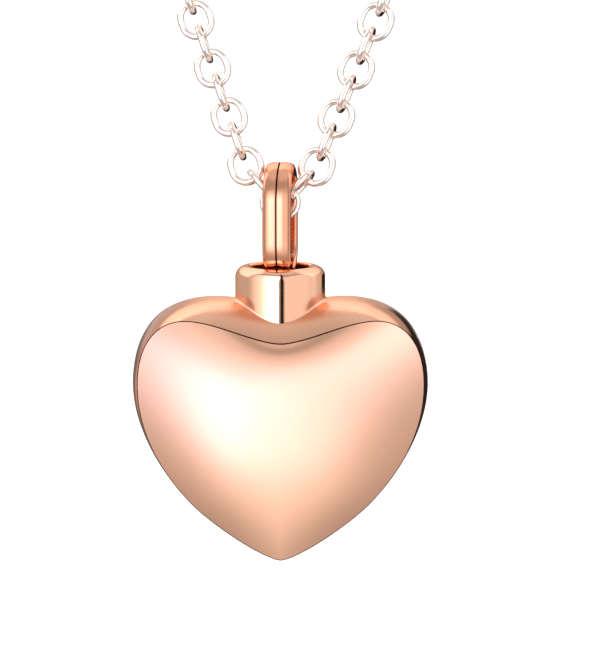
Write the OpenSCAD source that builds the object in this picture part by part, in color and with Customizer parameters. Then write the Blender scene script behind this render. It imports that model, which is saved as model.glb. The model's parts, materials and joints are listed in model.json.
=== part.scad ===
// Keepsake urn pendant: a hollow heart with a screw stopper, hanging by its bail on a cable chain.
// Millimetres. +X is to the right in a front view, the front faces -Y and +Z is up.
// The origin is the middle of the clasp, at the nape, and the chain hangs forward and down from it.

/* [Heart] */
// Width of the heart at its widest
heart_w = 22; // [18:0.5:30]
// Height of the heart, from its tip to the top of its lobes
heart_h = 19.3; // [16:0.1:27]
// Depth of the side wall, from the front face's edge to the back face's edge
side_depth = 9; // [8.4:0.1:11]
// How far each face rises from its edge to its middle
dome_h = 1.2; // [0.5:0.1:2]
// Thickness of the heart's metal
wall_t = 1; // [0.6:0.1:1.2]
// How far the heart is turned on its screw, from square with the bail
heart_turn = 7; // [-10:0.5:10]

/* [Neck] */
// Outer diameter of the neck
neck_d = 6.7; // [6.2:0.1:7.4]
// How far the neck's rim stands above the lobes
neck_rise = 2.45; // [1.8:0.05:3.5]
// Outward flare where the neck meets the heart
neck_flare = 0.2; // [0.05:0.05:0.4]
// Outer rounding of the rim
rim_round = 0.8; // [0.3:0.05:0.85]
// Inner rounding of the rim
rim_inner_round = 0.22; // [0.1:0.02:0.26]
// Diameter of the recess that the bail's foot sits in
recess_d = 4.55; // [4.3:0.05:4.7]
// Diameter of the threaded hole
thread_d = 3.6; // [2.8:0.1:3.8]
// Length of the threaded hole below the seat
thread_l = 4; // [3:0.1:5]

/* [Stopper] */
// Thickness of the seat disc
disc_t = 0.6; // [0.4:0.05:1]
// Length of the screw plug below the disc
plug_l = 3.7; // [2.8:0.1:5]
// Depth of the plug's thread
thread_depth = 0.25; // [0.1:0.05:0.4]
// Distance from one thread ridge to the next
thread_pitch = 0.7; // [0.5:0.05:1]

/* [Bail] */
// Width of the bail's band, as seen from the front
bail_w = 2.13; // [1.6:0.01:2.6]
// Thickness of the bail's band
bail_t = 0.85; // [0.75:0.05:1.4]
// Length of the bail's straight sides
bail_straight = 3.05; // [1.5:0.05:4]
// Rounding of the band's outer edges
bail_edge = 0.4; // [0.1:0.05:0.45]
// Depth of the groove between the band's two ribs
bail_groove = 0.12; // [0.05:0.01:0.16]

/* [Chain] */
// Length of the whole chain with its clasp
chain_length = 457; // [400:1:475]
// Outer length of a link
link_l = 3.1; // [2.9:0.05:3.4]
// Outer width of a link
link_w = 2.72; // [2.5:0.01:2.9]
// Diameter of the links' wire
wire_d = 0.52; // [0.4:0.01:0.56]
// Angle of each strand from the upright, within the chain's plane
strand_angle = 20.5; // [16:0.1:24]
// Rise of the first link on each side of the bail
first_angle = 47; // [42:1:48]
// How far the chain's plane leans back from the upright
lean_angle = 15; // [5:1:40]

/* [Clasp] */
// Distance between the two wires that the last links hang on
clasp_reach = 11; // [9:0.5:16]
// Diameter of the clasp's barrel
clasp_d = 2.6; // [2:0.1:4]
// Bevel of the barrel's ends
clasp_bevel = 0.45; // [0.1:0.05:0.6]
// Outer diameter of the clasp's two eyes
clasp_eye_d = 2.4; // [2.3:0.1:2.8]

/* [Clearances] */
// Gap between neighbouring links where they bear on each other
link_gap = 0.11; // [0.1:0.01:0.14]
// Gap between the bail and the links inside it
bail_gap = 0.12; // [0.1:0.01:0.2]
// Gap between the bail's foot and the recess's rim
foot_gap = 0.1; // [0.06:0.01:0.15]
// Gap round the disc and the plug
plug_gap = 0.08; // [0.05:0.01:0.12]
// Gap under the disc
seat_gap = 0.03; // [0.02:0.01:0.1]

/* [Hidden] */
$fn = 48;
WIRE_FN = 32;
RIB_FN = 96;
rose_gold = [0.87, 0.62, 0.51];

// Columns of the outline tables, a row for each knot from the cleft down to the tip.
// Across is a share of half the width, up and the handles are shares of the height,
// and the heading is the way the curve runs at the knot, in degrees from +X.
KNOT_ACROSS = 0;
KNOT_UP = 1;
KNOT_HEADING = 2;
KNOT_HANDLE_IN = 3;
KNOT_HANDLE_OUT = 4;
// Middle of the side wall, where the heart is widest
belt_knots = [
    [0, 0.975, 0, 0, 0.1],
    [0.42, 1, 0, 0.1, 0.18],
    [1, 0.68, -90, 0.22, 0.16],
    [0.617, 0.226, -133.5, 0.18, 0.14],
    [0, 0, -180, 0.07, 0],
];
// Edge of the front and back faces
edge_knots = [
    [0, 0.853, 0, 0, 0.095],
    [0.65, 0.942, 0, 0.115, 0.1],
    [0.966, 0.694, -90, 0.168, 0.16],
    [0.605, 0.234, -133.5, 0.2, 0.118],
    [0, 0.012, -180, 0.057, 0],
];
// How sharply the side wall turns in towards the faces' edges
side_power = 3;
// How sharply the faces drop towards their edges
dome_power = 2.6;
// Height of a face's middle, as a share of the heart's height
face_middle = 0.52;
// Radius of the round centre of a face, as a share of half the width
face_round = 0.8;
// Places of the rings of points, as shares of the side's half depth and of the way across a face
side_rings = [-1, -0.85, -0.6, -0.3, 0, 0.3, 0.6, 0.85, 1];
face_rings = [0.95, 0.85, 0.7, 0.5, 0.25];
// One ridge of the plug's thread: how far down, as a share of the pitch,
// and how far out, as a share of the thread's depth
RIDGE_DOWN = 0;
RIDGE_OUT = 1;
ridge_profile = [[0.2, 0], [0.5, 1], [0.6, 1], [0.9, 0]];

// Chain links: half of the straight part, and the places of neighbouring wires
link_half_straight = (link_l - link_w) / 2;
link_bend_r = (link_w - wire_d) / 2;
neighbour_off = link_bend_r - wire_d - link_gap;
link_bar = link_half_straight + link_bend_r;
link_pitch = link_bar + link_half_straight + neighbour_off;
links_a_side = 2 * round((chain_length - clasp_reach) / (4 * link_pitch));

// Bail: its swing axis lies a little above the middle of the link inside it,
// and the chain within its band reaches chain_reach from that axis
axis_rise = 0.2;
exit_x = bail_w / 2 + bail_gap;
first_wire = [
    link_half_straight + neighbour_off * cos(first_angle),
    neighbour_off * sin(first_angle),
];
exit_z = first_wire[1] + (exit_x - first_wire[0]) * tan(first_angle) + wire_d / 2 / cos(first_angle);
chain_reach = norm([link_w / 2, exit_z - axis_rise]);
bail_inner_r = chain_reach + bail_gap;
bail_outer_r = bail_inner_r + bail_t;

// Heights in the pendant's own frame, whose origin is the swing axis inside the bail
foot_half = sqrt(pow(recess_d / 2 - foot_gap, 2) - pow(bail_w / 2, 2));
foot_sink = bail_outer_r - sqrt(pow(bail_outer_r, 2) - pow(foot_half, 2));
foot_weld = 0.2; // how far the bail's foot sinks into the disc
bail_bottom_z = -bail_straight - bail_outer_r;
rim_z = bail_bottom_z + foot_sink + rim_inner_round;
disc_top_z = bail_bottom_z + foot_weld;
disc_bottom_z = disc_top_z - disc_t;
seat_z = disc_bottom_z - seat_gap;
tip_z = rim_z - neck_rise - heart_h;

// Half outline from a table of knots, by one cubic curve between each two knots
curve_steps = 8;
function along(heading) = [cos(heading), sin(heading)];
function knot_at(knot, w, h) = [knot[KNOT_ACROSS] * w / 2, knot[KNOT_UP] * h];
function cubic(a, b, c, d, t) =
    pow(1 - t, 3) * a + 3 * pow(1 - t, 2) * t * b + 3 * (1 - t) * t * t * c + pow(t, 3) * d;
function between_knots(k, m, w, h, t) = cubic(
    knot_at(k, w, h),
    knot_at(k, w, h) + h * k[KNOT_HANDLE_OUT] * along(k[KNOT_HEADING]),
    knot_at(m, w, h) - h * m[KNOT_HANDLE_IN] * along(m[KNOT_HEADING]),
    knot_at(m, w, h),
    t
);
function half_outline(knots, w, h) = [
    for (i = [0:len(knots) - 2], j = [0:curve_steps - 1])
        between_knots(knots[i], knots[i + 1], w, h, j / curve_steps),
    knot_at(knots[len(knots) - 1], w, h),
];
function whole_outline(knots, w, h) =
    let (half = half_outline(knots, w, h), last = len(half) - 1)
    [for (p = half) p, for (i = [last - 1:-1:1]) [-half[i][0], half[i][1]]];

// A ring of the side wall at a share t of its half depth, and a ring of a face at a share s of its width
function side_ring(belt, edge, half_depth, t) = [
    for (i = [0:len(belt) - 1])
        let (p = belt[i] + (edge[i] - belt[i]) * pow(abs(t), side_power))
        [p[0], t * half_depth, p[1]]
];
function face_ring(edge, w, h, half_depth, rise, side, s) = [
    for (p = edge)
        let (
            middle = [0, face_middle * h],
            out = p - middle,
            reach = s * (norm(out) * s * s + face_round * w / 2 * (1 - s * s)),
            q = middle + out / norm(out) * reach
        )
        [q[0], side * (half_depth + rise * (1 - pow(s, dome_power))), q[1]]
];

// A closed heart: rings of points from the front face's middle to the back face's middle
module heart_body(w, h, depth, rise) {
    belt = whole_outline(belt_knots, w, h);
    edge = whole_outline(edge_knots, w, h);
    n = len(belt);
    last = len(face_rings) - 1;
    rings = [
        for (i = [last:-1:0]) face_ring(edge, w, h, depth / 2, rise, -1, face_rings[i]),
        for (t = side_rings) side_ring(belt, edge, depth / 2, t),
        for (s = face_rings) face_ring(edge, w, h, depth / 2, rise, 1, s),
    ];
    count = len(rings);
    points = [
        for (r = rings, p = r) p,
        [0, -depth / 2 - rise, face_middle * h],
        [0, depth / 2 + rise, face_middle * h],
    ];
    front = count * n;
    back = front + 1;
    faces = [
        for (r = [0:count - 2], i = [0:n - 1])
            let (j = (i + 1) % n, a = r * n + i, b = r * n + j, c = a + n, d = b + n)
            each [[a, d, b], [a, c, d]],
        for (i = [0:n - 1]) [front, i, (i + 1) % n],
        for (i = [0:n - 1]) [back, (count - 1) * n + (i + 1) % n, (count - 1) * n + i],
    ];
    polyhedron(points, faces, convexity = 4);
}

// Neck: a turned collar, flared at its foot, with a rounded rim
module neck_collar() {
    r = neck_d / 2;
    lobes_z = rim_z - neck_rise;
    bottom_z = seat_z - thread_l;
    flare_rise = 2 * neck_flare;
    rotate_extrude() {
        polygon([
            [0, bottom_z],
            [r, bottom_z],
            [r + neck_flare, lobes_z - neck_flare],
            [r, lobes_z + flare_rise],
            [r, rim_z - rim_round],
            [r - rim_round, rim_z - rim_round],
            [r - rim_round, rim_z],
            [0, rim_z],
        ]);
        translate([r - rim_round, rim_z - rim_round]) intersection() {
            circle(r = rim_round);
            square(rim_round);
        }
    }
}

// What the stopper fills: the rim's inner rounding, the recess and the threaded hole
module neck_opening() {
    recess_r = recess_d / 2;
    mouth_r = recess_r + rim_inner_round;
    rotate_extrude() {
        difference() {
            translate([0, rim_z - rim_inner_round]) square([mouth_r, 2 * rim_inner_round]);
            translate([mouth_r, rim_z - rim_inner_round]) circle(r = rim_inner_round);
        }
        translate([0, seat_z]) square([recess_r, rim_z - rim_inner_round - seat_z]);
        translate([0, seat_z - thread_l - wall_t]) square([thread_d / 2, thread_l + 2 * wall_t]);
    }
}

module heart_urn_shape() {
    difference() {
        union() {
            translate([0, 0, tip_z]) difference() {
                heart_body(heart_w, heart_h, side_depth, dome_h);
                translate([0, 0, wall_t])
                    heart_body(heart_w - 2 * wall_t, heart_h - 2 * wall_t, side_depth - 2 * wall_t, dome_h);
            }
            neck_collar();
        }
        neck_opening();
    }
}

// Section of the bail's band, from its flat inner face out to two round ribs side by side
module band_section() {
    inner_edge = bail_edge / 2;
    half = bail_w / 2;
    rib_x = half / 2;
    rib_r = (rib_x * rib_x + bail_groove * bail_groove) / (2 * bail_groove);
    // The circle of each outer edge touches its rib's circle from inside, at touch_x
    edge_x = half - bail_edge;
    edge_r = bail_outer_r - rib_r + sqrt(pow(rib_r - bail_edge, 2) - pow(edge_x - rib_x, 2));
    touch_x = rib_x + (edge_x - rib_x) * rib_r / (rib_r - bail_edge);
    intersection() {
        union() {
            for (side = [-1, 1])
                translate([bail_outer_r - rib_r, side * rib_x]) circle(r = rib_r, $fn = RIB_FN);
        }
        translate([bail_inner_r, -touch_x]) square([bail_t, 2 * touch_x]);
    }
    translate([bail_inner_r, inner_edge - half])
        square([edge_r - bail_inner_r, bail_w - 2 * inner_edge]);
    translate([bail_inner_r + inner_edge, -half])
        square([edge_r - bail_inner_r - inner_edge, bail_w]);
    for (side = [-1, 1]) {
        translate([bail_inner_r + inner_edge, side * (half - inner_edge)]) circle(r = inner_edge);
        translate([edge_r, side * edge_x]) circle(r = bail_edge);
    }
}

// Bail: an upright oval loop, two half rings and two straight sides
module bail_loop() {
    rotate([90, 0, 90]) {
        rotate_extrude(angle = 180) band_section();
        translate([0, -bail_straight, 0]) rotate([0, 0, 180]) rotate_extrude(angle = 180) band_section();
        for (side = [0, 180])
            rotate([0, side, 0]) rotate([90, 0, 0])
                linear_extrude(bail_straight) band_section();
    }
}

// Seat disc and screw plug, turned as one, with the thread as a row of ridges
module plug() {
    crest_r = thread_d / 2 - plug_gap;
    core_r = crest_r - thread_depth;
    ridges = floor((plug_l - thread_depth) / thread_pitch);
    rotate_extrude() polygon([
        [0, disc_top_z],
        [recess_d / 2 - plug_gap, disc_top_z],
        [recess_d / 2 - plug_gap, disc_bottom_z],
        [core_r, disc_bottom_z],
        for (i = [0:ridges - 1], p = ridge_profile)
            [core_r + p[RIDGE_OUT] * thread_depth, disc_bottom_z - (i + p[RIDGE_DOWN]) * thread_pitch],
        [core_r, disc_bottom_z - plug_l + thread_depth],
        [core_r - thread_depth, disc_bottom_z - plug_l],
        [0, disc_bottom_z - plug_l],
    ]);
}

// One link, lying in the XZ plane with its length along X
module link() {
    for (side = [0, 180])
        rotate([0, side, 0]) translate([link_half_straight, 0, 0]) rotate([90, 0, 0]) rotate([0, 0, -90])
            rotate_extrude(angle = 180) translate([link_bend_r, 0]) circle(d = wire_d, $fn = WIRE_FN);
    for (side = [-1, 1])
        translate([-link_half_straight, 0, side * link_bend_r]) rotate([0, 90, 0])
            cylinder(d = wire_d, h = 2 * link_half_straight, $fn = WIRE_FN);
}

// Route of one strand in the chain's own plane, from the link inside the bail up to the clasp.
// Links 1 and 2 leave the bail, and the rest follow a straight line and then a round arc.
rise_angle = 90 - strand_angle;
link_1_x = link_half_straight + (link_bar + neighbour_off) * cos(first_angle);
link_1_z = (link_bar + neighbour_off) * sin(first_angle);
link_2_x = 2 * link_1_x - link_half_straight + link_half_straight * cos(rise_angle);
link_2_z = 2 * link_1_z + link_half_straight * sin(rise_angle);
strand_l = (links_a_side - 2) * link_pitch + link_half_straight + neighbour_off + clasp_reach / 2;
turn = 90 + strand_angle;
deg = 180 / PI;
arc_r = (strand_l + link_2_x / sin(strand_angle)) / (1 / tan(strand_angle) + turn / deg);
straight_l = (arc_r * cos(strand_angle) - link_2_x) / sin(strand_angle);
arc_z = link_2_z + straight_l * cos(strand_angle) + arc_r * sin(strand_angle);

// Place at a distance s past link 2: across, up, and the way the strand runs
function on_route(s) = s < straight_l
    ? [link_2_x + s * sin(strand_angle), link_2_z + s * cos(strand_angle), rise_angle]
    : let (a = (s - straight_l) / arc_r * deg - strand_angle)
      [arc_r * cos(a), arc_z + arc_r * sin(a), a + 90];
function link_place(k) =
    k == 0 ? [0, 0, 0]
    : k == 1 ? [link_1_x, link_1_z, first_angle]
    : on_route((k - 2) * link_pitch);
clasp_wire = on_route(strand_l - clasp_reach / 2);
apex_drop = clasp_wire[1];

module in_chain_plane() {
    translate([0, -apex_drop * sin(lean_angle), -apex_drop * cos(lean_angle)])
        rotate([-lean_angle, 0, 0]) children();
}

module strand(first) {
    in_chain_plane() for (k = [first:links_a_side]) {
        place = link_place(k);
        translate([place[0], 0, place[1]]) rotate([0, -place[2], 0]) rotate([90 * (k % 2), 0, 0]) link();
    }
}

module at_pendant() {
    in_chain_plane() translate([0, 0, axis_rise]) rotate([lean_angle, 0, 0]) children();
}

// Hollow heart with its neck, one soldered piece
module heart_urn() {
    color(rose_gold) at_pendant() rotate([0, 0, heart_turn]) heart_urn_shape();
}

// Plug, disc and bail, one piece
module stopper() {
    color(rose_gold) at_pendant() {
        plug();
        bail_loop();
    }
}

module chain_left() {
    color(rose_gold) mirror([1, 0, 0]) strand(1);
}

module chain_right() {
    color(rose_gold) strand(0);
}

// Plain barrel with an eye at each end
module clasp() {
    eye_r = (clasp_eye_d - wire_d) / 2;
    eye_x = clasp_wire[0] - eye_r;
    eye_weld = wire_d / 4;
    half = eye_x - eye_r + eye_weld;
    bevel = clasp_bevel;
    color(rose_gold) rotate([-lean_angle, 0, 0]) {
        rotate([0, 90, 0]) rotate_extrude() polygon([
            [0, -half],
            [clasp_d / 2 - bevel, -half],
            [clasp_d / 2, -half + bevel],
            [clasp_d / 2, half - bevel],
            [clasp_d / 2 - bevel, half],
            [0, half],
        ]);
        for (side = [-1, 1])
            translate([side * eye_x, 0, 0]) rotate_extrude()
                translate([eye_r, 0]) circle(d = wire_d, $fn = WIRE_FN);
    }
}

heart_urn();
stopper();
chain_left();
chain_right();
clasp();
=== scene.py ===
import json
import math

import bpy
import numpy as np
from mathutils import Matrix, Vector
from mathutils.bvhtree import BVHTree


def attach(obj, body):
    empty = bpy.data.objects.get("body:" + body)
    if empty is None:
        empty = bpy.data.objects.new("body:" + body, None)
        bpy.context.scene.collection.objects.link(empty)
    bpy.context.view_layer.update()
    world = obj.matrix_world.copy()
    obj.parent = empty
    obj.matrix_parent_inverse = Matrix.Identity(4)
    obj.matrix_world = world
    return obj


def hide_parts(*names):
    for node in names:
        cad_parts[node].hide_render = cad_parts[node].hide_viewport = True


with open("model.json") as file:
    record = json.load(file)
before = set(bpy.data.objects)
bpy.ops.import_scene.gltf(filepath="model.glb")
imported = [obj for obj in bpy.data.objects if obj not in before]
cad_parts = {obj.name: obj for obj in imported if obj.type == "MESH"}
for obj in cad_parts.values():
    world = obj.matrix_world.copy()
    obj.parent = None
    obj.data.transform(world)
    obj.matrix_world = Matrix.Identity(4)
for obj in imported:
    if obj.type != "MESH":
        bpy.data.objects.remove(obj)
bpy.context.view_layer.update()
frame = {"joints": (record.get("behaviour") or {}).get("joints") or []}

MM = 0.001  # the sizes below are in millimetres
scene = bpy.context.scene
pivot = np.array(next(j for j in frame["joints"] if j["name"] == "pendant_swing")["pos_m"])

# Camera
PICTURE_WIDTH = 44.75 * MM  # what the picture spans at the pendant
DISTANCE = 450 * MM
CAMERA_AZIMUTH = math.radians(6.5)
CAMERA_ELEVATION = math.radians(8)
AIM_RIGHT, AIM_DOWN = 1.47 * MM, 9.4 * MM  # the picture's middle, from the pendant's swing axis


def direction(azimuth, elevation):
    """The unit vector to an azimuth, counted from the front towards +X, and an elevation."""
    flat = math.cos(elevation)
    return Vector((math.sin(azimuth) * flat, -math.cos(azimuth) * flat, math.sin(elevation)))


lens = bpy.data.cameras.new("camera")
lens.sensor_fit = "HORIZONTAL"
lens.sensor_width = 36
lens.lens = lens.sensor_width * DISTANCE / PICTURE_WIDTH
lens.clip_start, lens.clip_end = 0.01, 100
camera = bpy.data.objects.new("camera", lens)
scene.collection.objects.link(camera)
back = direction(CAMERA_AZIMUTH, CAMERA_ELEVATION)
right = Vector((math.cos(CAMERA_AZIMUTH), math.sin(CAMERA_AZIMUTH), 0))
aim = Vector(tuple(pivot)) + right * AIM_RIGHT - Vector((0, 0, AIM_DOWN))
camera.location = aim + back * DISTANCE
camera.rotation_euler = (-back).to_track_quat("-Z", "Y").to_euler()
scene.camera = camera
scene.view_settings.view_transform = "Standard"
scene.view_settings.look = "None"

# Sizes, as in the part's source
HEART_W, HEART_H, SIDE_DEPTH, DOME_H, WALL_T = 22, 19.3, 9, 1.2, 1
HEART_TURN = math.radians(7)
NECK_D, NECK_RISE, RIM_ROUND, RIM_INNER_ROUND = 6.7, 2.45, 0.8, 0.22
RECESS_D, THREAD_D, THREAD_L = 4.55, 3.6, 4
DISC_T, PLUG_L, THREAD_DEPTH, THREAD_PITCH = 0.6, 3.7, 0.25, 0.7
BAIL_W, BAIL_T, BAIL_STRAIGHT, BAIL_EDGE = 2.13, 0.85, 3.05, 0.4
CHAIN_LENGTH, LINK_L, LINK_W, WIRE_D = 457, 3.1, 2.72, 0.52
STRAND_ANGLE, FIRST_ANGLE, LEAN_ANGLE = math.radians(20.5), math.radians(47), math.radians(15)
CLASP_REACH, CLASP_D, CLASP_BEVEL, CLASP_EYE_D = 11, 2.6, 0.45, 2.4
LINK_GAP, BAIL_GAP, FOOT_GAP, PLUG_GAP, SEAT_GAP = 0.11, 0.12, 0.1, 0.08, 0.03
AXIS_RISE, FOOT_WELD = 0.2, 0.2
SIDE_POWER, DOME_POWER, FACE_MIDDLE, FACE_ROUND = 3, 2.6, 0.52, 0.8

# Rows from the cleft to the tip: across, up, heading in degrees, handle in, handle out
BELT_KNOTS = [
    (0, 0.975, 0, 0, 0.1),
    (0.42, 1, 0, 0.1, 0.18),
    (1, 0.68, -90, 0.22, 0.16),
    (0.617, 0.226, -133.5, 0.18, 0.14),
    (0, 0, -180, 0.07, 0),
]
EDGE_KNOTS = [
    (0, 0.853, 0, 0, 0.095),
    (0.65, 0.942, 0, 0.115, 0.1),
    (0.966, 0.694, -90, 0.168, 0.16),
    (0.605, 0.234, -133.5, 0.2, 0.118),
    (0, 0.012, -180, 0.057, 0),
]

# Places of the chain's wires and of the bail, from the sizes above
half_straight = (LINK_L - LINK_W) / 2
bend_r = (LINK_W - WIRE_D) / 2
neighbour = bend_r - WIRE_D - LINK_GAP
link_bar = half_straight + bend_r
link_pitch = link_bar + half_straight + neighbour
links_a_side = 2 * round((CHAIN_LENGTH - CLASP_REACH) / (4 * link_pitch))
exit_x = BAIL_W / 2 + BAIL_GAP
wire_x = half_straight + neighbour * math.cos(FIRST_ANGLE)
wire_z = neighbour * math.sin(FIRST_ANGLE)
exit_z = wire_z + (exit_x - wire_x) * math.tan(FIRST_ANGLE) + WIRE_D / 2 / math.cos(FIRST_ANGLE)
bail_inner_r = math.hypot(LINK_W / 2, exit_z - AXIS_RISE) + BAIL_GAP
bail_outer_r = bail_inner_r + BAIL_T

# Heights and radii of the pendant, whose origin is its swing axis inside the bail
neck_r, recess_r, thread_r = NECK_D / 2, RECESS_D / 2, THREAD_D / 2
foot_half = math.sqrt((recess_r - FOOT_GAP) ** 2 - (BAIL_W / 2) ** 2)
foot_sink = bail_outer_r - math.sqrt(bail_outer_r**2 - foot_half**2)
bail_bottom_z = -BAIL_STRAIGHT - bail_outer_r
rim_z = bail_bottom_z + foot_sink + RIM_INNER_ROUND
disc_top_z = bail_bottom_z + FOOT_WELD
disc_bottom_z = disc_top_z - DISC_T
seat_z = disc_bottom_z - SEAT_GAP
bore_end_z = seat_z - THREAD_L
tip_z = rim_z - NECK_RISE - HEART_H


def hang(points, turn=0.0):
    """Points of the pendant, in mm from its swing axis, in the row frame in metres."""
    x, y, z = np.array(points, float).T
    c, s = math.cos(turn), math.sin(turn)
    return np.stack([x * c - y * s, x * s + y * c, z], 1) * MM + pivot


# Mesh helpers
CORE_R = 0.02  # a small ring that stands for the middle of an end face


def finish_mesh(mesh, sharp_deg):
    """Smooth shading, with edges sharper than the angle kept crisp."""
    mesh.polygons.foreach_set("use_smooth", [True] * len(mesh.polygons))
    mesh.set_sharp_from_angle(angle=math.radians(sharp_deg))
    mesh.update()


def add_mesh(name, points, faces, sharp_deg=35.0, painted_shade=None):
    """A mesh object. A face attribute marks with 1 the faces that get the dark metal, which is painted
    shade.
    """
    mesh = bpy.data.meshes.new(name)
    mesh.from_pydata([tuple(p) for p in points], [], faces)
    if painted_shade is not None:
        mark = mesh.attributes.new("painted_shade", "INT", "FACE")
        mark.data.foreach_set("value", np.asarray(painted_shade, dtype=np.int32))
    mesh.validate()
    mesh.update()
    obj = bpy.data.objects.new(name, mesh)
    scene.collection.objects.link(obj)
    finish_mesh(mesh, sharp_deg)
    return obj


def ring_faces(rings, n, loop=False):
    """Quads between rings of n points each. With loop, the last ring joins the first."""
    faces = []
    for ring in range(rings if loop else rings - 1):
        a, c = ring * n, (ring + 1) % rings * n
        for i in range(n):
            j = (i + 1) % n
            faces.append((a + i, c + i, c + j, a + j))
    return faces


def end_faces(rings, n):
    """The two end faces of a stack of rings of n points each."""
    last = (rings - 1) * n
    return [tuple(range(n)), tuple(range(last + n - 1, last - 1, -1))]


def volume_of(points, faces):
    """The volume that the faces enclose, negative where they face inwards."""
    p = np.asarray(points)
    total = 0.0
    for f in faces:
        for i in range(1, len(f) - 1):
            total += np.dot(p[f[0]], np.cross(p[f[i]], p[f[i + 1]]))
    return total / 6


def outward(points, faces, inside_out=False):
    """The same faces, turned so that they face outwards, or inwards for a hollow."""
    flip = (volume_of(points, faces) < 0) != inside_out
    return [tuple(reversed(f)) for f in faces] if flip else faces


def round_ring(radius, height, sides):
    """A ring of points round the upright axis. Radius and height may differ from point to point."""
    turn = np.arange(sides) * 2 * math.pi / sides
    r = np.broadcast_to(radius, sides)
    return np.stack([r * np.cos(turn), r * np.sin(turn), np.broadcast_to(height, sides)], 1)


def arc(cx, cz, r, start, end, steps):
    """Points of an arc about (cx, cz), from start to end in degrees."""
    turn = np.radians(np.linspace(start, end, steps))
    return [(cx + r * math.cos(a), cz + r * math.sin(a)) for a in turn]


# Heart
OUTER_STEPS = (36, 30, 34)  # steps along each knot's curve, from a face's middle out, through the wall
INNER_STEPS = (12, 10, 14)
GROOVE_HALF, GROOVE_DEEP = 0.06, 0.2  # the crease line between a face and the side wall, a groove whose faces get painted shade
HOLE_R, HOLE_SIDES = 2.7, 96  # the round hole under the neck
HOLE_ABOVE, HOLE_BELOW = 1, 0.5  # how far the tool that cuts it reaches past the neck's ends


def cubic(a, b, c, d, t):
    """The point at a share t of a curve from a to d, drawn by b and c."""
    return (1 - t) ** 3 * a + 3 * (1 - t) ** 2 * t * b + 3 * (1 - t) * t * t * c + t**3 * d


def quadratic(a, b, c, t):
    """The point at a share t of a curve from a to c, drawn by b."""
    return (1 - t) ** 2 * a + 2 * (1 - t) * t * b + t * t * c


def outline(knots, w, h, steps):
    """Whole outline: (across, up) points from the cleft round by +X."""
    half = []
    for (x0, z0, run0, _, out0), (x1, z1, run1, in1, _) in zip(knots, knots[1:]):
        a, d = np.array((x0 * w / 2, z0 * h)), np.array((x1 * w / 2, z1 * h))
        run0, run1 = math.radians(run0), math.radians(run1)
        b = a + h * out0 * np.array((math.cos(run0), math.sin(run0)))
        c = d - h * in1 * np.array((math.cos(run1), math.sin(run1)))
        half += [cubic(a, b, c, d, j / steps) for j in range(steps)]
    half.append(np.array((knots[-1][0] * w / 2, knots[-1][1] * h)))
    half = np.array(half)
    return np.concatenate([half, half[-2:0:-1] * (-1, 1)])


def side_ring(belt, edge, half_depth, t):
    """A ring of the side wall at a share t of its half depth, from -1 at the front to 1 at the back."""
    t = np.broadcast_to(t, len(belt))[:, None]
    q = belt + (edge - belt) * np.abs(t) ** SIDE_POWER
    return np.stack([q[:, 0], t[:, 0] * half_depth, q[:, 1]], 1)


def face_ring(edge, w, h, half_depth, rise, side, s):
    """A ring of the front (side -1) or back face, at a share s of the way out from its middle."""
    s = np.broadcast_to(s, len(edge))[:, None]
    middle = np.array((0, FACE_MIDDLE * h))
    out = edge - middle
    length = np.linalg.norm(out, axis=1)[:, None]
    reach = s * (length * s * s + FACE_ROUND * w / 2 * (1 - s * s))
    q = middle + out / length * reach
    y = side * (half_depth + rise * (1 - s[:, 0] ** DOME_POWER))
    return np.stack([q[:, 0], y, q[:, 1]], 1)


def crease(face, wall, side, middle):
    """Three rings of the groove at a face's edge: on the face, at its bottom and on the wall.

    The groove goes straight in, square to the metal and to the edge, on the side of the middle.
    """
    step = 1e-3  # a small share, over which the surface's run is measured
    rim = wall(side)
    face_run = np.linalg.norm(face(side, 1.0) - face(side, 1 - step), axis=1) / step
    wall_run = np.linalg.norm(rim - wall(side * (1 - step)), axis=1) / step
    on_face = face(side, 1 - GROOVE_HALF / face_run)
    on_wall = wall(side * (1 - GROOVE_HALF / wall_run))
    straight = np.cross(on_wall - on_face, np.roll(rim, -1, 0) - np.roll(rim, 1, 0))
    straight /= np.linalg.norm(straight, axis=1)[:, None]
    straight *= np.sign(np.sum(straight * (middle - rim), 1))[:, None]
    return [on_face, rim + straight * GROOVE_DEEP, on_wall]


def heart_rings(w, h, depth, rise, steps, groove):
    """Closed rings of points from the front face's middle over the side wall to the back's."""
    outline_steps, face_steps, wall_steps = steps
    belt = outline(BELT_KNOTS, w, h, outline_steps)
    edge = outline(EDGE_KNOTS, w, h, outline_steps)

    def face(side, s):
        return face_ring(edge, w, h, depth / 2, rise, side, s)

    def wall(t):
        return side_ring(belt, edge, depth / 2, t)

    def face_edge(side):
        return crease(face, wall, side, np.array((0, 0, FACE_MIDDLE * h))) if groove else [wall(side)]

    face_shares = np.linspace(0, 1, face_steps + 1)[1:-1]
    wall_shares = np.linspace(-1, 1, wall_steps + 1)[1:-1]
    rings = [face(-1, s) for s in face_shares] + face_edge(-1)
    rings += [wall(t) for t in wall_shares] + face_edge(1)[::-1]
    return rings + [face(1, s) for s in face_shares[::-1]]


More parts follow.
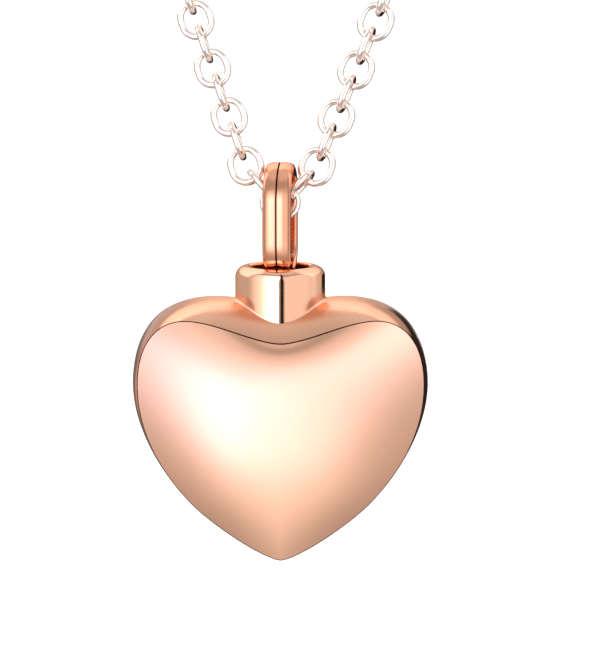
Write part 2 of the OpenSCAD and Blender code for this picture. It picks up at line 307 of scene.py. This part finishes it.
def heart_surface(w, h, depth, rise, steps, groove=False, lift=0.0, inside_out=False):
    """Points, faces and painted-shade marks of a whole heart surface, with its tip raised by lift."""
    rings = heart_rings(w, h, depth, rise, steps, groove)
    count, n = len(rings), len(rings[0])
    middles = [(0, side * (depth / 2 + rise), FACE_MIDDLE * h) for side in (-1, 1)]
    points = np.concatenate(rings + [np.array(middles)])
    points[:, 2] += tip_z + lift
    faces = ring_faces(count, n)
    # The faces of the crease's groove are marked for the dark metal: painted shade along the crease.
    front_groove = steps[1] - 1
    back_groove = front_groove + steps[2] + 2
    in_groove = (front_groove, front_groove + 1, back_groove, back_groove + 1)
    painted_shade = [groove and i // n in in_groove for i in range(len(faces))] + [False] * 2 * n
    last, front, back_middle = (count - 1) * n, count * n, count * n + 1
    faces += [(front, i, (i + 1) % n) for i in range(n)]
    faces += [(back_middle, last + (i + 1) % n, last + i) for i in range(n)]
    return points, outward(points, faces, inside_out), painted_shade


def cut_hole(obj):
    """Cuts the round hole under the neck through the heart's top."""
    heights = (rim_z + HOLE_ABOVE, bore_end_z - HOLE_BELOW)
    points = np.concatenate([round_ring(HOLE_R, z, HOLE_SIDES) for z in heights])
    faces = ring_faces(2, HOLE_SIDES) + end_faces(2, HOLE_SIDES)
    cutter = add_mesh("cutter", hang(points), outward(points, faces))
    cut = obj.modifiers.new("hole", "BOOLEAN")
    cut.operation, cut.object, cut.solver = "DIFFERENCE", cutter, "EXACT"
    bpy.context.view_layer.update()
    graph = bpy.context.evaluated_depsgraph_get()
    mesh = bpy.data.meshes.new_from_object(obj.evaluated_get(graph))
    obj.modifiers.clear()
    obj.data = mesh
    mesh.name = obj.name
    bpy.data.objects.remove(cutter)
    finish_mesh(mesh, sharp_deg=25)


outer_points, outer_faces, outer_painted_shade = heart_surface(
    HEART_W, HEART_H, SIDE_DEPTH, DOME_H, OUTER_STEPS, groove=True
)
inner_points, inner_faces, inner_painted_shade = heart_surface(
    HEART_W - 2 * WALL_T, HEART_H - 2 * WALL_T, SIDE_DEPTH - 2 * WALL_T, DOME_H,
    INNER_STEPS, lift=WALL_T, inside_out=True,
)
shift = len(outer_points)
heart = add_mesh(
    "heart_shell",
    hang(np.concatenate([outer_points, inner_points]), HEART_TURN),
    outer_faces + [tuple(i + shift for i in f) for f in inner_faces],
    painted_shade=outer_painted_shade + inner_painted_shade,
)
cut_hole(heart)

# Neck
NECK_SIDES = 192
CHAMFER = 0.15  # round the mouth of the threaded hole
FILLET_FRONT, FILLET_SIDE = 0.04, 0.4  # the solder at the neck's front and back, and at its sides
FOOT_LIFT = 0.004  # how far the solder's edge stands above the heart
FOOT_DEPTH, FOOT_INSET = 0.35, 0.05  # how the neck goes on inside the heart
DULL_FOOT, DULL_FROM = 6, 0.35  # roughness at the foot in times the wall's, and where it starts
DARK_BANDS = 4  # rings of faces inside the neck that get painted shade: the bore, the chamfer, the seat, the recess's wall
INNER_RIM_POINTS, RIM_POINTS = 9, 17  # along the rim's inner and outer rounds
TUBE_POINTS, FOOT_POINTS = 11, 9  # down the neck's wall, and along the solder's curve
surface = BVHTree.FromPolygons([tuple(p) for p in outer_points], outer_faces)


def heart_top(x, y):
    """Height of the heart's surface straight below a point that is level with the swing axis."""
    return surface.ray_cast(Vector((x, y, 0)), Vector((0, 0, -1)))[0].z


def neck_mesh():
    """Points, faces, painted-shade marks and roughness shares of the neck, soldered to the heart's
    cleft.
    """
    cosines, sines, _ = round_ring(1, 0, NECK_SIDES).T
    fillet = FILLET_FRONT + (FILLET_SIDE - FILLET_FRONT) * cosines**2
    out_r = neck_r + fillet
    foot_z = np.array([heart_top(neck_r * c, neck_r * s) for c, s in zip(cosines, sines)])
    out_z = np.array([heart_top(r * c, r * s) for r, c, s in zip(out_r, cosines, sines)])
    inner_z, wall_top, wall_end = rim_z - RIM_INNER_ROUND, rim_z - RIM_ROUND, foot_z + fillet
    rim = arc(recess_r + RIM_INNER_ROUND, inner_z, RIM_INNER_ROUND, 180, 90, INNER_RIM_POINTS)
    rim += arc(neck_r - RIM_ROUND, wall_top, RIM_ROUND, 90, 0, RIM_POINTS)

    # radius, height and dullness of each ring, from the bore's end over the rim to the foot
    rows = [(thread_r, bore_end_z, 0), (thread_r, seat_z - CHAMFER, 0)]
    rows += [(thread_r + CHAMFER, seat_z, 0), (recess_r, seat_z, 0)]
    rows += [(r, z, 0) for r, z in rim]
    for t in np.linspace(0, 1, TUBE_POINTS)[1:]:
        dull = max(0, t - DULL_FROM) / (1 - DULL_FROM)
        rows.append((neck_r, wall_top + (wall_end - wall_top) * t, dull))
    for t in np.linspace(0, 1, FOOT_POINTS)[1:]:
        r = quadratic(neck_r, neck_r, out_r, t)
        rows.append((r, quadratic(wall_end, foot_z, out_z + FOOT_LIFT, t), 1))
    rows += [(neck_r - FOOT_INSET, foot_z - FOOT_DEPTH, 0), (neck_r - FOOT_INSET, bore_end_z, 0)]

    points = np.concatenate([round_ring(r, z, NECK_SIDES) for r, z, _ in rows])
    faces = outward(points, ring_faces(len(rows), NECK_SIDES, loop=True))
    # The faces of the bore, chamfer, seat and recess wall are marked for the dark metal: painted shade
    # inside the neck.
    painted_shade = [i < DARK_BANDS * NECK_SIDES for i in range(len(faces))]
    shares = np.concatenate([1 + (DULL_FOOT - 1) * dull * np.abs(cosines) for _, _, dull in rows])
    return points, faces, painted_shade, shares


neck_points, neck_faces, neck_painted_shade, neck_shares = neck_mesh()
neck_points = hang(neck_points, HEART_TURN)
neck = add_mesh("neck_collar", neck_points, neck_faces, sharp_deg=40, painted_shade=neck_painted_shade)
unpolished = neck.data.attributes.new("unpolished", "FLOAT", "POINT")
unpolished.data.foreach_set("value", neck_shares.astype(np.float32))

# Bail
RIB_X, RIB_R = 0.3, 1.9  # where each half of the band is highest, and its curve
BAND_GROOVE_HALF, BAND_GROOVE_DEEP = 0.065, 0.1
RIB_START = 0.12  # how far from the middle the ribs' even steps start
RIB_POINTS, OUTER_CORNER_POINTS, INNER_CORNER_POINTS = 14, 12, 8
FLAT_SHARES = (0.6, 0.2)  # places of points on the flat inside, as shares of its half
BEND_POINTS = 61  # along each of the loop's half rings


def band_section():
    """Section of the band, (radius, across) round from the groove's bottom."""
    half, inner = BAIL_W / 2, BAIL_EDGE / 2
    edge_x = half - BAIL_EDGE
    edge_r = bail_outer_r - RIB_R + math.sqrt((RIB_R - BAIL_EDGE) ** 2 - (edge_x - RIB_X) ** 2)
    touch_x = RIB_X + (edge_x - RIB_X) * RIB_R / (RIB_R - BAIL_EDGE)

    def rib(x):
        return bail_outer_r - RIB_R + math.sqrt(RIB_R**2 - (x - RIB_X) ** 2)

    side = [(rib(0) - BAND_GROOVE_DEEP, 0), (rib(BAND_GROOVE_HALF), BAND_GROOVE_HALF)]
    side += [(rib(x), x) for x in np.linspace(RIB_START, touch_x, RIB_POINTS)]
    start = math.atan2(rib(touch_x) - edge_r, touch_x - edge_x)
    for t in np.linspace(0, 1, OUTER_CORNER_POINTS)[1:]:
        turn = start * (1 - t)
        side.append((edge_r + BAIL_EDGE * math.sin(turn), edge_x + BAIL_EDGE * math.cos(turn)))
    for turn in np.linspace(0, math.pi / 2, INNER_CORNER_POINTS):
        r = bail_inner_r + inner * (1 - math.sin(turn))
        side.append((r, half - inner * (1 - math.cos(turn))))
    side += [(bail_inner_r, (half - inner) * share) for share in FLAT_SHARES]
    return side + [(r, -x) for r, x in side[::-1][:-1]]


def bail_mesh():
    """Points, faces and painted-shade marks of the band, bent to a loop of two half rings and straight
    sides.
    """
    section = band_section()
    stations = [(0.0, a) for a in np.linspace(0, math.pi, BEND_POINTS)]
    stations += [(-BAIL_STRAIGHT, a) for a in np.linspace(math.pi, 2 * math.pi, BEND_POINTS)]
    points = [(x, r * math.cos(a), z + r * math.sin(a)) for z, a in stations for r, x in section]
    faces = ring_faces(len(stations), len(section), loop=True)
    # The faces of the band's middle groove are marked for the dark metal: painted shade along the
    # groove.
    painted_shade = [i % len(section) in (0, len(section) - 1) for i in range(len(faces))]
    return points, outward(points, faces), painted_shade


bail_points, bail_faces, bail_painted_shade = bail_mesh()
bail = add_mesh("bail_loop", hang(bail_points), bail_faces, sharp_deg=40, painted_shade=bail_painted_shade)

# Screw plug and disc
PLUG_SIDES = 96
DISC_BEVEL = 0.06
THREAD_START, THREAD_END = 0.05, 0.3  # bare lengths above and below the thread
TIP_STEP, TIP_BEVEL = 0.05, 0.2  # the bare tip starts a step below the thread and tapers
TURN_STEPS = 14  # rings along one turn of the thread
RIDGE_TOP, RIDGE_SLOPE = 1.25, 3.4  # a ridge above 1 is cut flat, and its flanks fall by the slope
FADE_IN, FADE_OUT = 0.3, 0.35  # how soon the ridge reaches its full height at the thread's ends


def plug_mesh():
    """Points and faces of the seat disc and the threaded plug below it."""
    crest_r = thread_r - PLUG_GAP
    core_r = crest_r - THREAD_DEPTH
    disc_r = recess_r - PLUG_GAP
    bottom = disc_bottom_z - PLUG_L
    turn = np.arange(PLUG_SIDES) / PLUG_SIDES
    start, end = disc_bottom_z - THREAD_START, bottom + THREAD_END
    rows = [(CORE_R, disc_top_z), (disc_r - DISC_BEVEL, disc_top_z)]
    rows += [(disc_r, disc_top_z - DISC_BEVEL), (disc_r, disc_bottom_z + DISC_BEVEL)]
    rows += [(disc_r - DISC_BEVEL, disc_bottom_z), (core_r, disc_bottom_z)]
    for z in np.arange(start, end, -THREAD_PITCH / TURN_STEPS):
        phase = (turn + (start - z) / THREAD_PITCH) % 1
        ridge = np.clip(RIDGE_TOP - np.abs(phase - 0.5) * RIDGE_SLOPE, 0, 1)
        fade = min(1, (start - z) / FADE_IN, (z - end) / FADE_OUT)
        rows.append((core_r + THREAD_DEPTH * ridge * fade, z))
    rows += [(core_r, end - TIP_STEP), (core_r - TIP_BEVEL, bottom), (CORE_R, bottom)]
    points = np.concatenate([round_ring(r, z, PLUG_SIDES) for r, z in rows])
    faces = ring_faces(len(rows), PLUG_SIDES) + end_faces(len(rows), PLUG_SIDES)
    return points, outward(points, faces)


plug_points, plug_faces = plug_mesh()
plug = add_mesh("screw_plug", hang(plug_points), plug_faces, sharp_deg=30)

# Chain
LINK_STATIONS, LINK_SIDES = 44, 16  # rings round a link, and points round its wire
lean_c, lean_s = math.cos(LEAN_ANGLE), math.sin(LEAN_ANGLE)


def leaned(x, y, z):
    """From the chain's own plane, in mm, to the row frame in metres."""
    return np.stack([x, y * lean_c + z * lean_s, -y * lean_s + z * lean_c], 1) * MM


def chain_route():
    """Place of each link of the right strand, and of the clasp's wire: across, up and its run.

    The first link beside the bail's lies flatter than the rest. From it the strand rises straight,
    and then along an arc that runs level into the clasp.
    """
    reach = link_bar + neighbour
    x1, z1 = half_straight + reach * math.cos(FIRST_ANGLE), reach * math.sin(FIRST_ANGLE)
    rise = math.pi / 2 - STRAND_ANGLE
    x2 = 2 * x1 - half_straight + half_straight * math.cos(rise)
    z2 = 2 * z1 + half_straight * math.sin(rise)
    length = (links_a_side - 2) * link_pitch + half_straight + neighbour + CLASP_REACH / 2
    turn = math.pi / 2 + STRAND_ANGLE
    arc_r = (length + x2 / math.sin(STRAND_ANGLE)) / (1 / math.tan(STRAND_ANGLE) + turn)
    straight = (arc_r * math.cos(STRAND_ANGLE) - x2) / math.sin(STRAND_ANGLE)
    arc_z = z2 + straight * math.cos(STRAND_ANGLE) + arc_r * math.sin(STRAND_ANGLE)

    def at(s):
        if s < straight:
            return x2 + s * math.sin(STRAND_ANGLE), z2 + s * math.cos(STRAND_ANGLE), rise
        a = (s - straight) / arc_r - STRAND_ANGLE
        return arc_r * math.cos(a), arc_z + arc_r * math.sin(a), a + math.pi / 2

    places = [(0.0, 0.0, 0.0), (x1, z1, FIRST_ANGLE)]
    places += [at((k - 2) * link_pitch) for k in range(2, links_a_side + 1)]
    return places, at(length - CLASP_REACH / 2)


def link_points():
    """One link's points: rings of its wire, lying in the XZ plane with its length along X."""
    each = LINK_STATIONS // 2
    wire = round_ring(WIRE_D / 2, 0, LINK_SIDES)
    rings = []
    for i in range(LINK_STATIONS):
        side = 1 if i < each else -1
        a = math.pi * ((i % each) / (each - 1) - 0.5)
        out = np.array((math.cos(a) * side, 0, math.sin(a) * side))
        middle = np.array((side * half_straight, 0, 0)) + out * bend_r
        rings.append(middle + wire[:, :1] * out + wire[:, 1:2] * (0, 1, 0))
    return np.concatenate(rings)


def strand(name, first, mirror):
    """All links of one strand from the link numbered first, every second one edge on."""
    base = link_points()
    base_faces = outward(base, ring_faces(LINK_STATIONS, LINK_SIDES, loop=True))
    if mirror:
        base_faces = [f[::-1] for f in base_faces]
    points, faces = [], []
    for k, (x, z, run) in enumerate(chain_places[first:], first):
        px, py, pz = (base[:, 0], -base[:, 2], base[:, 1]) if k % 2 else base.T
        c, s = math.cos(run), math.sin(run)
        across, up = px * c - pz * s + x, px * s + pz * c + z
        shift = len(points) * len(base)
        points.append(leaned(-across if mirror else across, py, up - clasp_wire[1]))
        faces += [tuple(i + shift for i in f) for f in base_faces]
    return add_mesh(name, np.concatenate(points), faces, sharp_deg=60)


chain_places, clasp_wire = chain_route()
left_links = strand("links_left", 1, True)
right_links = strand("links_right", 0, False)

# Clasp
BARREL_SIDES = 64
EYE_STATIONS, EYE_SIDES = 48, 16
BEVEL_TURNS = (18, 36, 54, 72, 90)  # degrees from the end face
MIDDLE_SEAM = [(0, 0.16), (0.05, 0.1), (0.05, 0.0)]  # depth and distance from the middle
END_RING = [(0, 0.62), (0.04, 0.6), (0, 0.58)]  # depth, and place as a share of half the barrel


def barrel_mesh(half):
    """Points and faces of the barrel along X, with round bevels, two fine rings and a middle seam."""
    r = CLASP_D / 2
    right_half = [(CORE_R, half), (r - CLASP_BEVEL, half)]
    for a in np.radians(BEVEL_TURNS):
        bevel_r = r - CLASP_BEVEL + CLASP_BEVEL * math.sin(a)
        right_half.append((bevel_r, half - CLASP_BEVEL + CLASP_BEVEL * math.cos(a)))
    right_half += [(r - depth, half * share) for depth, share in END_RING]
    right_half += [(r - depth, x) for depth, x in MIDDLE_SEAM]
    profile = right_half + [(ring_r, -x) for ring_r, x in right_half[::-1][1:]]
    rings = [round_ring(ring_r, x, BARREL_SIDES)[:, (2, 0, 1)] for ring_r, x in profile]
    points = np.concatenate(rings)
    faces = ring_faces(len(rings), BARREL_SIDES) + end_faces(len(rings), BARREL_SIDES)
    return points, outward(points, faces)


def eye_mesh(eye_r, x):
    """Points and faces of a round wire eye with its middle at x."""
    wire = round_ring(WIRE_D / 2, 0, EYE_SIDES)
    reach = eye_r + wire[:, 0]
    rings = []
    for u in np.arange(EYE_STATIONS) * 2 * math.pi / EYE_STATIONS:
        rings.append(np.stack([reach * math.cos(u), reach * math.sin(u), wire[:, 1]], 1))
    points = np.concatenate(rings)
    faces = outward(points, ring_faces(EYE_STATIONS, EYE_SIDES, loop=True))
    return points + (x, 0, 0), faces


def clasp_mesh():
    """Points and faces of the barrel with an eye at each end."""
    eye_r = (CLASP_EYE_D - WIRE_D) / 2
    eye_x = clasp_wire[0] - eye_r
    meshes = [barrel_mesh(eye_x - eye_r + WIRE_D / 4)]
    meshes += [eye_mesh(eye_r, side * eye_x) for side in (-1, 1)]
    faces, shift = [], 0
    for points, own_faces in meshes:
        faces += [tuple(i + shift for i in f) for f in own_faces]
        shift += len(points)
    return np.concatenate([points for points, _ in meshes]), faces


clasp_points, clasp_faces = clasp_mesh()
clasp = add_mesh("barrel_clasp", leaned(*clasp_points.T), clasp_faces, sharp_deg=30)


# Nodes
def add_node(tree, kind, inputs, **settings):
    """A node with its settings. Each input is set to a number or colour, or linked from a socket."""
    made = tree.nodes.new(kind)
    for name, value in settings.items():
        setattr(made, name, value)
    for name, value in inputs.items():
        if isinstance(value, bpy.types.NodeSocket):
            tree.links.new(value, made.inputs[name])
        else:
            made.inputs[name].default_value = value
    return made


def math_node(tree, operation, a, b=None):
    """The output of a node that reckons with numbers or sockets."""
    inputs = {0: a} if b is None else {0: a, 1: b}
    return add_node(tree, "ShaderNodeMath", inputs, operation=operation).outputs[0]


def smooth_step(tree, value, start, end, low=0.0, high=1.0):
    """Low up to the start and high from the end on, with a soft change between them."""
    inputs = {"Value": value, "From Min": start, "From Max": end, "To Min": low, "To Max": high}
    kind = "ShaderNodeMapRange"
    return add_node(tree, kind, inputs, interpolation_type="SMOOTHSTEP").outputs["Result"]


# Materials
CLOUD_SCALE, CLOUD_DETAIL, CLOUD_TINT = 60.0, 3, 0.015  # the colour's faint cloudiness
MARK_SCALE, MARK_DETAIL, MARK_GLOSS, MARK_DEPTH = 1200.0, 2, 0.02, 0.02 * MM  # the polishing marks
NOISE_LOW, NOISE_HIGH = 0.3, 0.7  # the part of the noise's range that counts
EDGE_LOW, EDGE_GAIN = 0.35, 0.6  # the metal's tint at grazing angles, a paler one of its own colour
WALL_DULL, WALL_POLISHED = 4.5 * MM, 9.5 * MM  # on the side wall, from the pendant's middle


def noise(tree, where, scale, detail):
    """The output of a soft noise, from 0 to 1."""
    inputs = {"Vector": where, "Scale": scale, "Detail": detail}
    return add_node(tree, "ShaderNodeTexNoise", inputs).outputs["Fac"]


def distance_along(tree, where, way):
    """How far a point lies from the pendant's axis along a way, on either side of it."""
    inputs = {0: where, 1: way}
    along = add_node(tree, "ShaderNodeVectorMath", inputs, operation="DOT_PRODUCT").outputs["Value"]
    return math_node(tree, "ABSOLUTE", math_node(tree, "SUBTRACT", along, float(np.dot(pivot, way))))


def wall_gloss(tree, where, rough, near_share, side_share):
    """The heart's roughness: on its side wall the faces' one times a share.

    The share is near_share beside the neck, where a buffing wheel hardly reaches, and side_share
    at the heart's sides.
    """
    c, s = math.cos(HEART_TURN), math.sin(HEART_TURN)
    depth = distance_along(tree, where, (-s, c, 0.0))
    on_wall = math_node(tree, "LESS_THAN", depth, SIDE_DEPTH / 2 * MM)
    across = distance_along(tree, where, (c, s, 0.0))
    more = smooth_step(tree, across, WALL_DULL, WALL_POLISHED, near_share - 1, side_share - 1)
    share = math_node(tree, "ADD", math_node(tree, "MULTIPLY", on_wall, more), 1.0)
    return math_node(tree, "MULTIPLY", share, rough)


def metal(name, colour, roughness, bump=0.001, wall=None, worn=False):
    """Polished plated metal: faint cloudiness of its colour, and fine polishing marks.

    With wall, a pair of shares, the heart's side wall has its own gloss. With worn, the mesh's
    attribute unpolished multiplies the roughness.
    """
    mat = bpy.data.materials.new(name)
    mat.use_nodes = True
    tree = mat.node_tree
    shader = tree.nodes["Principled BSDF"]
    shader.inputs["Metallic"].default_value = 1
    shader.inputs["Specular Tint"].default_value = (*[EDGE_LOW + EDGE_GAIN * v for v in colour], 1)
    where = tree.nodes.new("ShaderNodeTexCoord").outputs["Object"]
    cloud = noise(tree, where, CLOUD_SCALE, CLOUD_DETAIL)
    marks = noise(tree, where, MARK_SCALE, MARK_DETAIL)

    tint = add_node(tree, "ShaderNodeValToRGB", {"Fac": cloud})
    ends = ((NOISE_LOW, 1 - CLOUD_TINT), (NOISE_HIGH, 1 + CLOUD_TINT))
    for element, (place, share) in zip(tint.color_ramp.elements, ends):
        element.position = place
        element.color = (*[min(1, v * share) for v in colour], 1)
    tree.links.new(tint.outputs["Color"], shader.inputs["Base Color"])

    inputs = {"Value": marks, "From Min": NOISE_LOW, "From Max": NOISE_HIGH}
    inputs["To Min"] = roughness * (1 - MARK_GLOSS)
    inputs["To Max"] = roughness * (1 + MARK_GLOSS)
    rough = add_node(tree, "ShaderNodeMapRange", inputs).outputs["Result"]
    if worn:
        share = add_node(tree, "ShaderNodeAttribute", {}, attribute_name="unpolished").outputs["Fac"]
        rough = math_node(tree, "MULTIPLY", share, rough)
    if wall is not None:
        rough = wall_gloss(tree, where, rough, *wall)
    tree.links.new(rough, shader.inputs["Roughness"])

    inputs = {"Strength": bump, "Distance": MARK_DEPTH, "Height": marks}
    tree.links.new(add_node(tree, "ShaderNodeBump", inputs).outputs["Normal"], shader.inputs["Normal"])
    return mat


ROSE = (0.95, 0.53, 0.355)
heart_metal = metal("rose_gold_heart", ROSE, 0.26, bump=0.0003, wall=(1.2, 0.27))
neck_metal = metal("rose_gold_polished", ROSE, 0.06, worn=True)
# The plug's rose gold at about half brightness: painted shade for where it sits down in the neck's
# recess.
shaded_plug_metal = metal("rose_gold_plug_shaded", (0.55, 0.29, 0.19), 0.3)
# A deeper rose gold than the heart's: painted reflection of the rose gold neck and heart below the
# bail.
bail_metal = metal("rose_gold_bail", (0.94, 0.45, 0.28), 0.16)
chain_metal = metal("rose_gold_pale", (0.97, 0.84, 0.78), 0.1)
# Dark metal for the grooves and the inside of the neck: painted shade.
painted_shade_metal = metal("rose_gold_painted_shade", (0.16, 0.06, 0.04), 0.5)


def dress(obj, mat):
    """Gives a piece its metal, and the dark one, painted shade, on the faces that its attribute marks.
    """
    mesh = obj.data
    mesh.materials.clear()
    mesh.materials.append(mat)
    if "painted_shade" in mesh.attributes:
        mesh.materials.append(painted_shade_metal)
        in_painted_shade = np.zeros(len(mesh.polygons), dtype=np.int32)
        mesh.attributes["painted_shade"].data.foreach_get("value", in_painted_shade)
        mesh.polygons.foreach_set("material_index", in_painted_shade)


# Riding: each piece with its metal, its body, and the node and slot that it stands for
for obj, mat, body, node, slot in (
    (heart, heart_metal, "urn", "heart_urn", "heart_metal"),
    (neck, neck_metal, "urn", "heart_urn", "heart_metal"),
    (bail, bail_metal, "stopper", "stopper", "stopper_metal"),
    (plug, shaded_plug_metal, "stopper", "stopper", "stopper_metal"),
    (left_links, chain_metal, "necklace", "chain_left", "chain_metal"),
    (right_links, chain_metal, "necklace", "chain_right", "chain_metal"),
    (clasp, chain_metal, "necklace", "clasp", "clasp_metal"),
):
    dress(obj, mat)
    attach(obj, body)
    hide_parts(node)

# Floor
FLOOR_DROP, FLOOR_HALF = 30 * MM, 30.0  # its depth below the heart's tip, and half of its width
FLOOR_SHADE, FLOOR_ROUGHNESS, FLOOR_GLOW = 0.9, 0.9, 0.45
floor_z = float(pivot[2]) + tip_z * MM - FLOOR_DROP
corners = ((-FLOOR_HALF, -FLOOR_HALF), (FLOOR_HALF, -FLOOR_HALF))
corners += ((FLOOR_HALF, FLOOR_HALF), (-FLOOR_HALF, FLOOR_HALF))
floor_mesh = bpy.data.meshes.new("floor")
floor_mesh.from_pydata([(x, y, floor_z) for x, y in corners], [], [(0, 1, 2, 3)])
floor = bpy.data.objects.new("floor", floor_mesh)
scene.collection.objects.link(floor)
floor_mat = bpy.data.materials.new("pale_floor")
floor_mat.use_nodes = True
shader = floor_mat.node_tree.nodes["Principled BSDF"]
shader.inputs["Base Color"].default_value = (FLOOR_SHADE, FLOOR_SHADE, FLOOR_SHADE, 1)
shader.inputs["Roughness"].default_value = FLOOR_ROUGHNESS
shader.inputs["Emission Color"].default_value = (1, 1, 1, 1)
shader.inputs["Emission Strength"].default_value = FLOOR_GLOW
floor_mesh.materials.append(floor_mat)
floor.visible_glossy = False

# Studio
BASE_LIGHT = 0.5  # the surround's brightness where no panel is

# Panels, painted in this order: from and to azimuth, from and to elevation, softness of the edges
# at the sides and above and below, in degrees, and brightness. Azimuth 0 is the camera's side and
# +90 is the right of the picture.
PANELS = [
    (-90, 90, 28, 64, 30, 20, 0.5),        # above the front
    (-200, -92, 14, 66, 16, 12, 1.5),      # bright above the rear left
    (92, 200, 18, 66, 16, 14, 1.25),       # bright above the rear right
    (-200, 200, 66, 120, 8, 20, 0.8),      # ceiling
    (-200, -90, -40, 12, 24, 8, 0.62),     # rear left
    (92, 134, -50, 16, 20, 12, 0.75),      # rear right
    (134, 179, -60, 4, 4, 5, 0.03),        # dark rear right
    (-182, -160, -60, -3, 8, 6, 0.2),      # dim rear left
    (0.5, 8.5, -70, 74, 2, 10, 0.02),      # dark gap between the front lights
]


def band(tree, angle, start, end, soft):
    """One between start and end, in degrees, with an edge of the width soft round each of them."""
    def edge_at(place):
        return smooth_step(tree, angle, math.radians(place - soft / 2), math.radians(place + soft / 2))

    return math_node(tree, "MULTIPLY", edge_at(start), math_node(tree, "SUBTRACT", 1, edge_at(end)))


world = bpy.data.worlds.new("studio")
scene.world = world
world.use_nodes = True
tree = world.node_tree
tree.nodes.clear()
where = tree.nodes.new("ShaderNodeTexCoord").outputs["Generated"]
axes = add_node(tree, "ShaderNodeSeparateXYZ", {0: where}).outputs
azimuth = math_node(tree, "ARCTAN2", axes["X"], math_node(tree, "MULTIPLY", axes["Y"], -1))
azimuth = math_node(tree, "SUBTRACT", azimuth, CAMERA_AZIMUTH)
elevation = math_node(tree, "ARCSINE", axes["Z"])
level = BASE_LIGHT
for az0, az1, el0, el1, soft_az, soft_el, brightness in PANELS:
    beside = band(tree, azimuth, az0, az1, soft_az)
    mask = math_node(tree, "MULTIPLY", beside, band(tree, elevation, el0, el1, soft_el))
    inputs = {"Factor": mask, "A": level, "B": brightness}
    level = add_node(tree, "ShaderNodeMix", inputs, data_type="FLOAT").outputs["Result"]

# The camera sees a plain white backdrop. The pieces are lit by the panels.
around = add_node(tree, "ShaderNodeBackground", {"Color": (1, 1, 1, 1), "Strength": level})
plain = add_node(tree, "ShaderNodeBackground", {"Color": (1, 1, 1, 1)})
to_camera = tree.nodes.new("ShaderNodeLightPath").outputs["Is Camera Ray"]
inputs = {0: to_camera, 1: around.outputs[0], 2: plain.outputs[0]}
either = add_node(tree, "ShaderNodeMixShader", inputs)
add_node(tree, "ShaderNodeOutputWorld", {"Surface": either.outputs[0]})

# Softboxes
LIGHT_DISTANCE = 0.6  # from the pendant, in metres
LIGHT_AIM_DOWN = 12 * MM  # they point at the pendant's middle, this far below its swing axis
WHITE, COOL = (1.0, 1.0, 1.0), (0.92, 1.0, 1.28)


def softbox(name, az, el, width, height, brightness, receivers, soft=(0.5, 0.5, 0.5), tint=WHITE):
    """A studio light seen from the pendant at az and el, as wide and high as given in degrees.

    Its brightness rises from nothing at its edges over the shares soft of its width at the left, of
    its width at the right, and of its height at the top and the bottom. It lights only the receivers.
    """
    light = bpy.data.lights.new(name, "AREA")
    light.shape = "RECTANGLE"
    light.size = 2 * LIGHT_DISTANCE * math.tan(math.radians(width / 2))
    light.size_y = 2 * LIGHT_DISTANCE * math.tan(math.radians(height / 2))
    light.energy = brightness * math.pi * light.size * light.size_y
    light.color = tint
    light.use_nodes = True
    tree = light.node_tree
    place = tree.nodes.new("ShaderNodeNewGeometry").outputs["Parametric"]
    axes = add_node(tree, "ShaderNodeSeparateXYZ", {0: place}).outputs
    left, right, ends = soft
    level = smooth_step(tree, axes["Y"], 0, ends)
    level = math_node(tree, "MULTIPLY", level, smooth_step(tree, axes["Y"], 1 - ends, 1, 1, 0))
    if left:
        level = math_node(tree, "MULTIPLY", level, smooth_step(tree, axes["X"], 0, left))
    if right:
        level = math_node(tree, "MULTIPLY", level, smooth_step(tree, axes["X"], 1 - right, 1, 1, 0))
    tree.links.new(level, tree.nodes["Emission"].inputs["Strength"])

    obj = bpy.data.objects.new(name, light)
    scene.collection.objects.link(obj)
    way = direction(math.radians(az) + CAMERA_AZIMUTH, math.radians(el))
    obj.location = Vector(tuple(pivot)) - Vector((0, 0, LIGHT_AIM_DOWN)) + way * LIGHT_DISTANCE
    obj.rotation_euler = way.to_track_quat("Z", "Y").to_euler()
    obj.visible_camera = False
    group = bpy.data.collections.new(name + "_lit")
    for receiver in receivers:
        group.objects.link(receiver)
    obj.light_linking.receiver_collection = group


necklace = [left_links, right_links, clasp]
softbox("gap_fill", 4.5, 2, 8, 144, 0.48, [heart, bail] + necklace, (0.1, 0.1, 0.04))

# Square softboxes for the heart alone: azimuth, elevation, size, brightness and tint
for name, az, el, size, brightness, tint in (
    ("heart_core", -12, -3, 31, 1.15, (0.9, 1.0, 1.8)),
    ("heart_key", -11, -8, 36, 1.65, COOL),
    ("heart_key_high", -4, 8, 34, 0.75, COOL),
    ("heart_middle", 8, -8, 36, 1.25, (0.95, 1.0, 1.2)),
    ("heart_middle_high", 8, 10, 36, 1.05, COOL),
    ("heart_right", 26, 10, 36, 1.85, COOL),
    ("heart_right_high", 26, 28, 36, 1.8, (0.95, 1.0, 1.15)),
    ("heart_top", -4, 28, 36, 0.6, WHITE),
    ("heart_low", 0, -26, 44, 0.8, WHITE),
    ("heart_low_left", -20, -24, 34, 0.34, WHITE),
    ("heart_low_right", 20, -24, 34, 0.34, WHITE),
    ("heart_back", 150, -34, 46, 2.6, COOL),
    ("heart_back_left", -155, -34, 46, 1.6, COOL),
):
    softbox(name, az, el, size, size, brightness, [heart], tint=tint)

softbox("neck_key", -50, 8, 94, 96, 1.5, [neck], (0.8, 0, 0.1))
softbox("neck_key_core", -28, 8, 50, 96, 1.5, [neck], (0.8, 0, 0.1), (0.9, 1.0, 1.5))
softbox("neck_right", 64, 8, 108, 96, 0.55, [neck], (0, 0.5, 0.1))
softbox("bail_wide", 0, 0, 110, 100, 0.6, [bail], (0.3, 0.3, 0.45))
softbox("bail_key", -22, 3, 44, 72, 1.2, [bail], (0.5, 0.15, 0.5), COOL)
softbox("chain_left_key", -40, 10, 70, 90, 1.6, necklace, (0.2, 0.2, 0.2))
softbox("chain_right_key", 45, 10, 60, 90, 1.4, necklace, (0.2, 0.2, 0.2))
